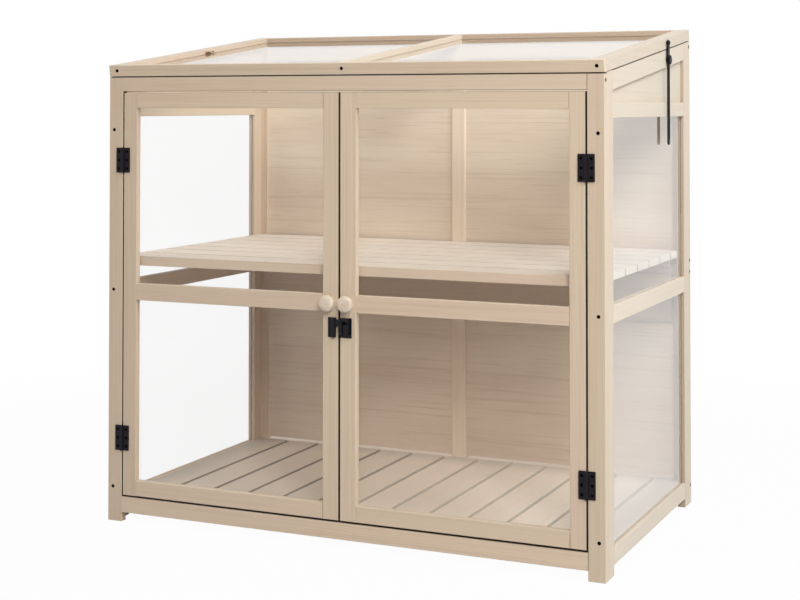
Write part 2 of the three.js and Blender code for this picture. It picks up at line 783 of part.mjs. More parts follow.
const outward = [[0, staySide, 0], [0, 0, 1], [staySide, 0, 0]];
const stay = new THREE.Group();
stay.name = 'right_stay_swing';
stay.position.set(staySide * half, stayPivotY, stayPivotZ);
stay.rotation.x = -slope;
stay.add(nodeOf('right_stay', strip.add(placed(pivotScrew, outward, [0, 0, 0])), black));
lid.add(stay);
const stayKnob = new THREE.Group();
stayKnob.name = 'right_stay_knob_turn';
stayKnob.position.set(staySide * half, stayBack, stayPivotHeight - boltDrop);
stayKnob.add(nodeOf('right_stay_knob', placed(thumbKnob, outward, [0, 0, 0]), black));
cabinet.add(stayKnob);
cabinet.add(lid);

// The origin goes under the middle of everything, between the knobs and the lid hinges,
// and between the left face and the thumb knob
const frontMost = -fit - knobReach;
const rearMost = lidPinDepth + barrelRadius;
const rightMost = half + thumbStart + thumbThick;
cabinet.position.set((half - rightMost) / 2, -(frontMost + rearMost) / 2, 0);

const greenhouse = new THREE.Group();
greenhouse.name = 'mini_greenhouse';
greenhouse.add(cabinet);

export default greenhouse;
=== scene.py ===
"""Looks for the wooden mini greenhouse: softwood, clear sheets, black fittings, white studio."""

import json
import math

import bmesh
import bpy
from bpy.props import FloatProperty, FloatVectorProperty, PointerProperty
from mathutils import Matrix, Vector


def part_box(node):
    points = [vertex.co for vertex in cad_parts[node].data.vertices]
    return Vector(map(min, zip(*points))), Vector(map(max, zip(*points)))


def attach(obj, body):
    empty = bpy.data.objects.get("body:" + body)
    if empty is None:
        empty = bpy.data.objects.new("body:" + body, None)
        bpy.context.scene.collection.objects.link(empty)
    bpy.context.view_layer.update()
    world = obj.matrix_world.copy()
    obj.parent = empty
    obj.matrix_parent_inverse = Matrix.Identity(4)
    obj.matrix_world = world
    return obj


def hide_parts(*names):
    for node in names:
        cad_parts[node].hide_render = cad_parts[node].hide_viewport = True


bl_info = {
    "name": "Mini greenhouse looks",
    "version": (1, 0, 0),
    "blender": (4, 5, 0),
    "location": "View3D > Sidebar > Greenhouse",
    "description": "Dresses the mini greenhouse: timber, clear sheets, fittings, screws and studio",
    "category": "Object",
}

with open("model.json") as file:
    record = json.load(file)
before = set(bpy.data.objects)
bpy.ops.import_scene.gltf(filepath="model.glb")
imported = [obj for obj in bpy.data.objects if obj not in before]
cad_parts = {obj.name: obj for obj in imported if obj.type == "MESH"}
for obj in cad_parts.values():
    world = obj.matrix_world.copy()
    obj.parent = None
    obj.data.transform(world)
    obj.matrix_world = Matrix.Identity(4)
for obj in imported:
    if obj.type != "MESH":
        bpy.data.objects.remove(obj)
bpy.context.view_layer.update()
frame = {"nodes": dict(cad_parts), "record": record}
NODES = frame["nodes"]
SUBPARTS = frame["record"]["subparts"]
MM = 0.001
LEFT, RIGHT = Vector((-1.0, 0.0, 0.0)), Vector((1.0, 0.0, 0.0))
FRONT, BACK = Vector((0.0, -1.0, 0.0)), Vector((0.0, 1.0, 0.0))
DOWN, UP = Vector((0.0, 0.0, -1.0)), Vector((0.0, 0.0, 1.0))

# What a test of a face's place allows for
HAIR = 0.1 * MM
NEAR = 1 * MM

# The cabinet's middle and half its width, and the front face of its front posts
LEFT_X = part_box("left_front_post")[0].x
RIGHT_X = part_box("right_front_post")[1].x
MID_X = (LEFT_X + RIGHT_X) / 2
HALF_X = (RIGHT_X - LEFT_X) / 2
FRONT_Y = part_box("left_front_post")[0].y
BOARD_THICK = 15 * MM
MUNTIN_HALF = 15 * MM


def srgb(red, green, blue):
    """A linear colour from 0-255 display values."""

    def linear(value):
        value /= 255
        return value / 12.92 if value <= 0.04045 else ((value + 0.055) / 1.055) ** 2.4

    return (linear(red), linear(green), linear(blue))


def colour(name, default, description):
    return FloatVectorProperty(
        name=name, description=description, subtype="COLOR", size=3, default=default, min=0, max=1
    )


def number(name, default, description):
    return FloatProperty(name=name, description=description, default=default)


def length(name, default_mm, description):
    return FloatProperty(
        name=name, description=description, unit="LENGTH", default=default_mm * MM, min=0.0
    )


class TimberSettings(bpy.types.PropertyGroup):
    early: colour("Early wood", srgb(211, 190, 167), "Pale wood between the growth rings")
    late: colour("Late wood", srgb(179, 153, 125), "Darker line at the end of each growth ring")
    blush: colour("Blush", srgb(210, 183, 164), "Pinkish tone that comes and goes along a board")
    # pale is a pale wood colour: the knobs use it as their own, and the boards mix it in as painted
    # light, a veil that stands in for the white reflected at grazing angles, not a real bleaching
    pale: colour("Pale wood", srgb(227, 216, 202), "Bleached tone of the boards inside")
    veneer: colour("Veneer", srgb(235, 219, 199), "Pale wood of the rear sheet")
    knot: colour("Knot", srgb(104, 70, 46), "Heart of a knot")
    # gap is painted shade: the dark that narrow gaps, rims and slots between boards are painted
    # with
    gap: colour("Gap", srgb(30, 18, 11), "Wood deep in the gaps between boards")
    ring_gap: length("Ring gap", 3.4, "Mean distance between growth rings")
    ring_strength: number("Ring strength", 0.42, "How far the late wood shows")
    fibre_strength: number("Fibre strength", 0.16, "How far the fine fibres show")
    roughness: number("Roughness", 0.5, "Roughness of the planed faces")


class SheetSettings(bpy.types.PropertyGroup):
    tint: colour("Tint", (0.84, 0.855, 0.875), "Colour of the sheets' reflections")
    lid_tint: colour("Lid tint", (0.86, 0.85, 0.84), "Colour of the lid's reflections")
    inner_tint: colour("Inner tint", (0.5, 0.5, 0.5), "Colour of the reflections inside")
    facing: number("Facing reflection", 0.018, "Share reflected by a face seen square on")
    grazing: number("Grazing reflection", 0.82, "What is added towards grazing angles")
    rise: number("Rise", 2.2, "How late the reflection grows towards grazing angles")
    most: number("Most reflection", 0.94, "Share reflected at grazing angles")
    inside: number("Inside", 0.45, "Strength of the reflections seen from inside")
    edge: number("Edge", 0.05, "Strength of the reflections on the sheets' thin edges")
    roughness: number("Roughness", 0.0, "Roughness of the clear sheets")


class FittingSettings(bpy.types.PropertyGroup):
    black: colour("Black", srgb(22, 19, 24), "Black coating of hinges and stay")
    screw_black: colour("Screw black", srgb(9, 4, 3), "Black oxide of the screws")
    latch_black: colour("Latch black", srgb(12, 13, 19), "Glossy black of the latch")
    screw_radius: length("Board screw radius", 3.3, "Radius of a screw head in the boards")
    hinge_screw_radius: length("Hinge screw radius", 2.65, "Radius of a screw head in the hinges")
    roughness: number("Roughness", 0.42, "Roughness of the black coating")
    screw_roughness: number("Screw roughness", 0.6, "Roughness of the screws")
    latch_roughness: number("Latch roughness", 0.3, "Roughness of the latch")


class StageSettings(bpy.types.PropertyGroup):
    focal: number("Focal length", 70.564, "Lens of the camera in mm")
    shift: number("Shift", -0.2895, "Vertical shift of the camera")
    place: FloatVectorProperty(
        name="Camera place", description="Where the camera stands", subtype="TRANSLATION",
        default=(1.265885, -2.852416, 0.80334),
    )
    turn: FloatVectorProperty(
        name="Camera turn", description="Turn of the camera in degrees",
        default=(91.348, 0.0, 24.163),
    )
    sky: number("Sky", 0.04, "Strength of the even light all round")
    high_right: number("High right", 128.0, "Watts of the high lamp at the right")
    rear_right: number("Rear right", 19.0, "Watts of the lamp at the right rear")
    front: number("Front", 127.0, "Watts of the lamp at the front right")
    top: number("Top", 23.0, "Watts of the lamp overhead")
    left: number("Left", 58.0, "Watts of the lamp at the left")
    rear: number("Rear", 85.0, "Watts of the low lamp behind")
    cool: colour("Right light", (0.84, 0.945, 1.0), "Colour of the lamps at the right")
    rosy: colour("Left light", (1.0, 0.95, 0.93), "Colour of the lamp at the left")
    warm: colour("Front light", (1.0, 0.98, 0.94), "Colour of the front, top and rear lamps")


# --- building node trees ---


class Tree:
    """Adds nodes, fills their inputs and hands back their outputs."""

    def __init__(self, tree):
        self.tree = tree
        tree.nodes.clear()

    def add(self, kind, *inputs, out=0, named=None, **settings):
        """Hands back the node's output out, or the node itself where out is None."""
        node = self.tree.nodes.new(kind)
        for key, value in settings.items():
            setattr(node, key, value)
        for key, value in [*enumerate(inputs), *(named or {}).items()]:
            if isinstance(value, bpy.types.NodeSocket):
                self.tree.links.new(value, node.inputs[key])
            elif value is not None:
                node.inputs[key].default_value = value
        return node.outputs[out] if out is not None and node.outputs else node

    def maths(self, operation, *inputs):
        return self.add("ShaderNodeMath", *inputs, operation=operation)

    def plus(self, first, second):
        return self.maths("ADD", first, second)

    def minus(self, first, second):
        return self.maths("SUBTRACT", first, second)

    def times(self, first, second):
        return self.maths("MULTIPLY", first, second)

    def vector(self, operation, *inputs, out=0):
        return self.add("ShaderNodeVectorMath", *inputs, operation=operation, out=out)

    def noise(self, where, waves, detail=2.0, roughness=0.5):
        """Noise between 0 and 1. waves is how many there are in a metre along each axis."""
        stretched = self.vector("MULTIPLY", where, waves)
        named = {"Vector": stretched, "Scale": 1.0, "Detail": detail, "Roughness": roughness}
        return self.add("ShaderNodeTexNoise", named=named)

    def mix(self, factor, first, second):
        named = {0: factor, 6: first, 7: second}
        return self.add("ShaderNodeMix", named=named, data_type="RGBA", out=2)

    def ramp(self, value, low, high):
        """A soft step from 0 at low to 1 at high."""
        inputs = (value, low, high, 0.0, 1.0)
        return self.add("ShaderNodeMapRange", *inputs, clamp=True, interpolation_type="SMOOTHSTEP")

    def here(self):
        return self.add("ShaderNodeTexCoord", out="Object")

    def surface(self, colour, roughness, specular=0.5, sheen=(0.0, 0.5), bump=None, **more):
        """Joins a principled shader to the output. bump is (strength, distance, height)."""
        named = {"Base Color": colour, "Roughness": roughness, "Specular IOR Level": specular}
        named |= {"Sheen Weight": sheen[0], "Sheen Roughness": sheen[1], **more}
        if bump:
            inputs = dict(zip(("Strength", "Distance", "Height"), bump))
            named["Normal"] = self.add("ShaderNodeBump", named=inputs)
        self.add("ShaderNodeOutputMaterial", self.add("ShaderNodeBsdfPrincipled", named=named))


def rgba(values):
    return (*values, 1.0)


def new_material(name):
    """A material, and the Tree that fills it."""
    material = bpy.data.materials.new(name)
    material.use_nodes = True
    return material, Tree(material.node_tree)


# --- materials ---

# Waves of the wood's noises in a metre, along the grain first
SLOW_BEND = (1.3, 6.0, 6.0)
WOBBLE = (5.0, 60.0, 60.0)
RING_PATCHES = (2.2, 25.0, 25.0)
FIBRES = (9.0, 900.0, 900.0)
STREAKS = (2.5, 190.0, 190.0)
BLUSH_CLOUDS = (1.1, 5.0, 5.0)
# How far these bends and a knot push the rings
BEND_REACH = 45 * MM
WOBBLE_REACH = 4 * MM
KNOT_REACH = 11 * MM
# The heart of the log: its spread beside the board, its depth and that depth's spread
HEART_SPREAD = 90 * MM
HEART_DEPTH = 18 * MM
HEART_DEEPER = 50 * MM
# How far a board's seed moves its wood along the three axes, and what each slat adds to it
SEED_STEPS = (2.37, 0.71, 0.43)
SLAT_SEED = 3.71
# How much the tone differs from slat to slat and board to board
TONE_SPREAD = 0.07
# How a knot is drawn out along the grain, and a small knot beside it: its place and its share
KNOT_SQUASH = (0.28, 1.0, 1.0)
SMALL_KNOT = (18 * MM, 0.0, 4.4 * MM)
SMALL_KNOT_SHARE = 0.38
# How far gaps between boards, and the floor's surroundings, are searched for light, which sets
# their painted shade
GAP_SEARCH = 8 * MM
ROOM_SEARCH = 100 * MM
# Painted shade on the eased edge beside a gap, which widens the dark gap line: its width, how soft
# its limit is and how dark it is
RIM_WIDTH = 0.58 * MM
RIM_SOFT = 0.1 * MM
RIM_DARK = 0.9
# Painted shade: how dark the slots between slats are painted, and how much the floor is darkened
# near its neighbours
SLOT_DARK = 0.45
FLOOR_SLOT_DARK = 0.35
FLOOR_DIM = 0.34
# Order of the axes that brings the grain to x
TURNS = {"x": "XYZ", "y": "YXZ", "z": "ZXY"}


def timber_group(settings):
    """Planed softwood: growth rings, fibres, blush and one optional knot, the grain along x;
    painted shade in gaps, slots and round the floor, and a painted pale veil.
    """
    group = bpy.data.node_groups.new("planed_softwood", "ShaderNodeTree")
    for way, kind, names in (
        ("INPUT", "Vector", ("Place", "Knot")),
        ("INPUT", "Float", ("Start", "Pitch", "Slot", "Slot shade", "Seed", "Tone", "Knot radius")),
        ("INPUT", "Float", ("Gap", "Rim", "Pale", "Shade")),
        ("OUTPUT", "Color", ("Colour",)),
        ("OUTPUT", "Float", ("Height", "Roughness")),
    ):
        for name in names:
            group.interface.new_socket(name, in_out=way, socket_type="NodeSocket" + kind)
    t = Tree(group)
    given = t.add("NodeGroupInput", out=None).outputs
    parts = t.add("ShaderNodeSeparateXYZ", given["Place"], out=None).outputs
    # the slat that a point is in, and its place across that slat
    across = t.minus(parts["Y"], given["Start"])
    index = t.maths("FLOOR", t.maths("DIVIDE", across, given["Pitch"]))
    across = t.minus(across, t.times(t.plus(index, 0.5), given["Pitch"]))
    seed = t.plus(given["Seed"], t.times(index, SLAT_SEED))
    lots = t.add("ShaderNodeTexWhiteNoise", named={"W": seed}, noise_dimensions="1D", out=None)
    lot = t.add("ShaderNodeSeparateColor", lots.outputs["Color"], out=None).outputs
    place = t.add("ShaderNodeCombineXYZ", parts["X"], across, parts["Z"])
    away = t.add("ShaderNodeCombineXYZ", *[t.times(seed, step) for step in SEED_STEPS])
    here = t.vector("ADD", place, away)
    # distance to the heart of the log, bent along the board
    bend = t.times(t.minus(t.noise(here, SLOW_BEND, detail=1.5), 0.5), BEND_REACH)
    from_y = t.minus(across, t.times(t.minus(lot["Red"], 0.5), HEART_SPREAD))
    from_z = t.plus(parts["Z"], t.plus(t.times(lot["Green"], HEART_DEEPER), HEART_DEPTH))
    radius = t.plus(t.maths("POWER", from_y, 2.0), t.maths("POWER", from_z, 2.0))
    wobble = t.times(t.minus(t.noise(here, WOBBLE), 0.5), WOBBLE_REACH)
    radius = t.plus(t.plus(t.maths("SQRT", radius), bend), wobble)
    # the knot pushes the rings aside
    offset = t.vector("SUBTRACT", given["Place"], given["Knot"])
    distance = t.vector("LENGTH", t.vector("MULTIPLY", offset, KNOT_SQUASH), out=1)
    knot_size = t.maths("MAXIMUM", given["Knot radius"], 0.1 * MM)
    reach = t.maths("DIVIDE", distance, knot_size)
    beside = t.vector("MULTIPLY", t.vector("SUBTRACT", offset, SMALL_KNOT), KNOT_SQUASH)
    small_size = t.times(knot_size, SMALL_KNOT_SHARE)
    small_reach = t.maths("DIVIDE", t.vector("LENGTH", beside, out=1), small_size)
    has_knot = t.maths("GREATER_THAN", given["Knot radius"], 0.5 * MM)
    falloff = t.plus(t.maths("POWER", t.times(reach, 0.42), 2.0), 1.0)
    radius = t.plus(radius, t.times(t.maths("DIVIDE", KNOT_REACH, falloff), has_knot))
    # each ring darkens slowly and ends in a sharp line, which is stronger in patches
    phase = t.maths("FRACT", t.maths("DIVIDE", radius, settings.ring_gap))
    ring = t.times(t.maths("POWER", phase, 2.6), t.ramp(phase, 1.0, 0.9))
    patch = t.ramp(t.noise(here, RING_PATCHES), 0.3, 0.75)
    ring = t.times(ring, t.plus(t.times(patch, 0.8), 0.2))
    fibre = t.noise(here, FIBRES, detail=3.0, roughness=0.6)
    streaks = t.times(t.ramp(t.noise(here, STREAKS), 0.42, 0.8), settings.fibre_strength * 1.6)
    fibres = t.times(t.ramp(fibre, 0.5, 0.8), settings.fibre_strength)
    blush = t.times(t.ramp(t.noise(here, BLUSH_CLOUDS, detail=1.0), 0.42, 0.72), 0.5)
    late = rgba(settings.late)
    wood = t.mix(blush, rgba(settings.early), rgba(settings.blush))
    for share in (t.times(ring, settings.ring_strength), streaks, fibres):
        wood = t.mix(share, wood, late)
    # painted light: a share of the pale colour whitens the faces like a veil of reflected light
    wood = t.mix(given["Pale"], wood, rgba(settings.pale))
    halo = t.times(t.ramp(reach, 2.6, 0.9), 0.35)
    wood = t.mix(t.times(halo, has_knot), wood, late)
    heart = t.ramp(t.maths("MINIMUM", reach, small_reach), 1.15, 0.75)
    wood = t.mix(t.times(heart, has_knot), wood, rgba(settings.knot))
    # painted shade: hardly any light gets into the narrow gaps between boards, so where ambient
    # occlusion finds too little sky, and on the rims, the wood is painted the dark gap colour
    named = {"Distance": GAP_SEARCH}
    sky = t.add("ShaderNodeAmbientOcclusion", named=named, samples=12, out="AO")
    reached = t.maths("DIVIDE", sky, t.maths("MAXIMUM", given["Gap"], 0.001))
    shut = t.times(t.ramp(reached, 0.62, 0.38), t.maths("GREATER_THAN", given["Gap"], 0.01))
    wood = t.mix(t.maths("MAXIMUM", shut, given["Rim"]), wood, rgba(settings.gap))
    # nor between slats: painted shade in the slots and beside them
    half = t.times(t.minus(given["Pitch"], given["Slot"]), 0.5)
    beyond = t.ramp(t.minus(t.maths("ABSOLUTE", across), half), -1.2 * MM, 0.2 * MM)
    wood = t.mix(t.times(beyond, given["Slot shade"]), wood, rgba(settings.gap))
    # each board is a little lighter or darker than the next
    own = t.times(t.minus(lot["Blue"], 0.5), TONE_SPREAD)
    level = t.plus(t.plus(own, 1.0), given["Tone"])
    # painted shade: the floor is darkened towards the sheets and posts round it, where ambient
    # occlusion finds them
    named = {"Distance": ROOM_SEARCH}
    room = t.add("ShaderNodeAmbientOcclusion", named=named, samples=8, out="AO")
    dim = t.times(t.ramp(room, 1.0, 0.5), given["Shade"])
    level = t.times(level, t.minus(1.0, dim))
    wood = t.add("ShaderNodeVectorMath", wood, named={"Scale": level}, operation="SCALE")
    height = t.minus(t.times(fibre, 0.6), t.times(ring, 0.5))
    rough = t.plus(t.times(fibre, 0.12), settings.roughness)
    t.add("NodeGroupOutput", wood, height, rough)
    return group


def timber_material(
    group, name, grain, centre, seed, tone=0.0, slats=None, knot=None, gap=0.0, pale=0.0,
    shine=1.0, lean=0.0, rims=(),
):
    """One board's material, with the grain along the named axis.

    slats is (start, pitch, slot) across the grain, and knot is (place, radius). gap is how much sky
    a point needs to see to stay light; with less it gets painted shade. lean is how much painted
    light it gains per metre to the right. rims holds (way, limit): the board's eased edge at that
    limit, which gets painted shade and turns into a dark gap.
    """
    material, t = new_material(name)
    coords = t.here()
    parts = t.add("ShaderNodeSeparateXYZ", t.vector("SUBTRACT", coords, centre), out=None).outputs
    order = TURNS[grain]
    start, pitch, slot = slats or (0.0, 0.0, 0.0)
    knot_place, knot_radius = (0.0, 0.0, 0.0), 0.0
    if knot:
        offset = Vector(knot[0]) - Vector(centre)
        knot_place, knot_radius = [offset["XYZ".index(axis)] for axis in order], knot[1]
    # painted shade in the slots; the floor also gets painted light to the right, painted shade near
    # its neighbours and slots painted darker to the left
    shade, slot_shade = 0.0, SLOT_DARK if slats else 0.0
    if lean:
        tone = t.plus(t.times(parts["X"], lean), tone)
        shade = FLOOR_DIM
        slot_shade = t.times(t.ramp(parts["X"], 0.1, -0.25), FLOOR_SLOT_DARK)
    # painted shade: a dark band along the eased edges beside gaps
    rim = 0.0
    if rims:
        depth = 1.0
        for way, limit in rims:
            inside = t.minus(limit, t.vector("DOT_PRODUCT", coords, way, out=1))
            depth = t.maths("MINIMUM", inside, depth)
        rim = t.times(t.ramp(depth, RIM_WIDTH + RIM_SOFT, RIM_WIDTH - RIM_SOFT), RIM_DARK)
    named = {
        "Place": t.add("ShaderNodeCombineXYZ", *[parts[axis] for axis in order]),
        "Start": start, "Pitch": pitch, "Slot": slot, "Slot shade": slot_shade, "Seed": seed,
        "Tone": tone, "Knot": knot_place, "Knot radius": knot_radius, "Gap": gap, "Rim": rim,
        "Pale": pale, "Shade": shade,
    }
    board = t.add("ShaderNodeGroup", named=named, node_tree=group, out=None).outputs
    t.surface(
        board["Colour"], board["Roughness"], 0.5 * shine, (0.25 * shine, 0.4),
        bump=(0.18, 0.4 * MM, board["Height"]),
    )
    return material


def plywood_material(settings):
    """Rotary-cut veneer: soft clouds and many short level ticks."""
    material, t = new_material("thin_plywood")
    coords = t.here()
    ticks = t.noise(coords, (14.0, 40.0, 620.0), roughness=0.6)
    lines = t.noise(coords, (3.0, 12.0, 210.0), detail=3.0, roughness=0.6)
    clouds = t.times(t.ramp(t.noise(coords, (2.2, 4.0, 9.0)), 0.35, 0.7), 0.45)
    wood = t.mix(clouds, rgba(settings.veneer), rgba(settings.blush))
    for share, low, high, most in ((lines, 0.5, 0.78, 0.3), (ticks, 0.55, 0.8, 0.42)):
        wood = t.mix(t.times(t.ramp(share, low, high), most), wood, rgba(settings.late))
    t.surface(wood, 0.6, 0.4, (0.3, 0.5), bump=(0.15, 0.3 * MM, ticks))
    return material


def end_grain_material(settings, index):
    """Turned softwood, whose face shows the cut ends of the fibres as small specks."""
    material, t = new_material(f"turned_softwood_{index}")
    coords = t.here()
    here = t.vector("ADD", coords, (index * 0.37, 0.0, index * 0.21))
    specks = t.noise(here, (620.0, 60.0, 620.0), roughness=0.7)
    rings = t.noise(here, (60.0, 20.0, 210.0))
    wood = t.mix(0.35, rgba(settings.early), rgba(settings.pale))
    for share, low, high, most in ((rings, 0.45, 0.7, 0.35), (specks, 0.54, 0.72, 0.75)):
        wood = t.mix(t.times(t.ramp(share, low, high), most), wood, rgba(settings.late))
    t.surface(wood, 0.55, 0.45, (0.4, 0.5), bump=(0.25, 0.3 * MM, specks))
    return material


def sheet_material(settings, part, tint, front):
    """Clear acrylic sheet: it reflects more towards grazing angles, and lets the rest through.

    front is the strength of the reflection on the outside of a face. Its inside has none.
    """
    material, t = new_material("clear_acrylic" + part)
    facing = t.add("ShaderNodeLayerWeight", 0.5, out="Facing")
    grazing = t.times(t.maths("POWER", facing, settings.rise), settings.grazing)
    share = t.maths("MINIMUM", t.plus(grazing, settings.facing), settings.most)
    behind = t.add("ShaderNodeNewGeometry", out="Backfacing")
    strength = t.plus(t.times(behind, -front), front)
    t.surface(rgba(tint), settings.roughness, Metallic=1.0, Alpha=t.times(share, strength))
    return material


def black_material(name, tint, roughness, shine):
    """Black coated steel with a fine orange-peel texture."""
    material, t = new_material(name)
    coords = t.here()
    grain = t.noise(coords, (1400.0, 1400.0, 1400.0))
    wear = t.ramp(t.noise(coords, (90.0, 90.0, 90.0), detail=3.0), 0.35, 0.75)
    worn = [min(1, value * 1.9 + 0.004) for value in tint]
    t.surface(
        t.mix(t.times(wear, 0.35), rgba(tint), rgba(worn)),
        t.plus(t.times(wear, 0.14), roughness), shine, bump=(0.25, 0.1 * MM, grain),
    )
    return material


def names_of(slot):
    return [row["node"] for row in SUBPARTS if row["material_slot"] == slot]


def set_material(obj, material):
    obj.data.materials.clear()
    obj.data.materials.append(material)


# --- making objects ---


def linked(name, data):
    """A new object in the scene."""
    obj = bpy.data.objects.new(name, data)
    bpy.context.scene.collection.objects.link(obj)
    return obj


def object_of(name, shape):
    """A new object made from a bmesh, which is freed."""
    mesh = bpy.data.meshes.new(name)
    shape.to_mesh(mesh)
    shape.free()
    return linked(name, mesh)


def apply_modifiers(obj):
    """Makes what the object's modifiers give its own mesh."""
    bpy.context.view_layer.update()
    evaluated = obj.evaluated_get(bpy.context.evaluated_depsgraph_get())
    mesh = bpy.data.meshes.new_from_object(evaluated)
    obj.modifiers.clear()
    obj.data = mesh


# --- timber ---

# Tone of single boards, as the photograph shows them: partly their own tone and partly painted
# light and shade, such as the darker lid back rail that stands in shade; and how much painted veil
# of reflected light whitens them
BOARD_TONES = {
    "floor": 0.12, "shelf": 0.09, "rear_frame": 0.21, "left_rear_post": 0.02,
    "left_front_post": -0.06, "right_front_post": -0.03, "right_gable": -0.06,
    "front_top_rail": -0.03, "front_bottom_rail": 0.06,
    "lid_front_rail": 0.03, "lid_back_rail": -0.18, "lid_right_rail": -0.1,
    "lid_centre_rail": -0.01, "left_door_hinge_stile": -0.05, "left_door_bottom_rail": 0.06,
    "right_door_meeting_stile": 0.05, "right_door_top_rail": 0.05,
    "right_door_middle_rail": 0.05, "right_door_bottom_rail": 0.05,
}
VEILED_BOARDS = {
    "floor": 0.42, "shelf": 0.45, "rear_frame": 0.35, "lid_centre_rail": 0.15,
    "lid_right_rail": 0.1, "right_gable": 0.2, "right_middle_rail": 0.2, "right_bottom_rail": 0.2,
}
# Boards beside gaps that are too narrow for light, which get painted shade there
GAP_BOARDS = (
    "front_post", "front_top_rail", "front_bottom_rail", "stile", "door_top_rail",
    "door_bottom_rail", "gable", "lid_front_rail", "lid_right_rail",
)
# Axis of the grain for names with these words, where it isn't x
GRAIN = {
    "z": ("post", "stile"),
    "y": (
        "lid_left", "lid_right", "lid_centre", "gable", "floor",
        "left_bottom", "right_bottom", "left_middle", "right_middle",
    ),
}
# The board with a knot: where its heart is, and its radius
KNOTS = {"lid_left_rail": ((LEFT_X + 28 * MM, FRONT_Y + 324 * MM, 914 * MM), 4.2 * MM)}
# Boards made of slats: the axis across them, their pitch and the slot between them
SLATS = {"floor": (0, 76.6 * MM, 8.0 * MM), "shelf": (1, 80.7 * MM, 6.5 * MM)}
# Painted light: how much lighter the floor is painted per metre to the right
FLOOR_LEAN = 0.25
# How much sky the faces beside a gap and the faces inside it need to stay light; with less they
# are painted dark as shade
FACE_GAP, EDGE_GAP = 0.65, 1.0
# How far inside the cabinet's outer faces the grooves of the side panes start and end
PANE_GROOVE = (5.8 * MM, 9.2 * MM)
# Depth of the front panes' grooves behind the front boards
FRONT_GROOVE = 7 * MM
# Where the wood of a node's other board lies in the log, and what it adds to the seed
SECOND_SHIFT = Vector((0.02, 0.013, 0.3))
SECOND_SEED = 0.61
# The board across the back: depth and height, place behind the rear frame, middle, eased edges
BEARER_SIZE = (8 * MM, 96 * MM)
BEARER_BEHIND = 11.2 * MM
BEARER_UP = 413 * MM
BEARER_EASE = 0.8 * MM


def grain_of(name):
    if "door" in name and name.endswith("rail"):
        return "x"
    return next((axis for axis, keys in GRAIN.items() if any(key in name for key in keys)), "x")


def slope():
    """How much the lid rises per metre towards the rear."""
    low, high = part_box("lid_left_pane")
    return (high.z - low.z) / (high.y - low.y)


class Board:
    """A node made of timber, and what its materials share."""

    def __init__(self, group, name, seed):
        self.group, self.name, self.seed = group, name, seed
        self.mesh = NODES[name].data
        self.low, self.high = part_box(name)
        self.centre = (self.low + self.high) / 2
        self.tone = BOARD_TONES.get(name, 0.0)
        self.pale = VEILED_BOARDS.get(name, 0.0)

    def material(self, part="", **settings):
        """A material of the board. part is what its name adds for some of the faces."""
        shared = {"centre": self.centre, "seed": self.seed, "tone": self.tone}
        settings = {"grain": grain_of(self.name)} | shared | settings
        return timber_material(self.group, self.name + part, **settings)

    def dress(self, part, belongs, **settings):
        """Gives the faces that belong(centre, normal) a further material."""
        self.mesh.materials.append(self.material(part, **settings))
        for face in self.mesh.polygons:
            if belongs(face.center, face.normal):
                face.material_index = len(self.mesh.materials) - 1

    def slats(self):
        """Where the slats start, their pitch and their slots."""
        if self.name not in SLATS:
            return None
        axis, pitch, slot = SLATS[self.name]
        return (self.low[axis] - self.centre[axis] - slot / 2, pitch, slot)

    def outermost(self, sign):
        """The plane of the highest face (sign 1) or the lowest (sign -1), as (way, limit)."""
        faces = [face for face in self.mesh.polygons if face.normal.z * sign > 0.5]
        face = max(faces, key=lambda face: face.center.dot(face.normal))
        return face.normal.copy(), face.center.dot(face.normal)


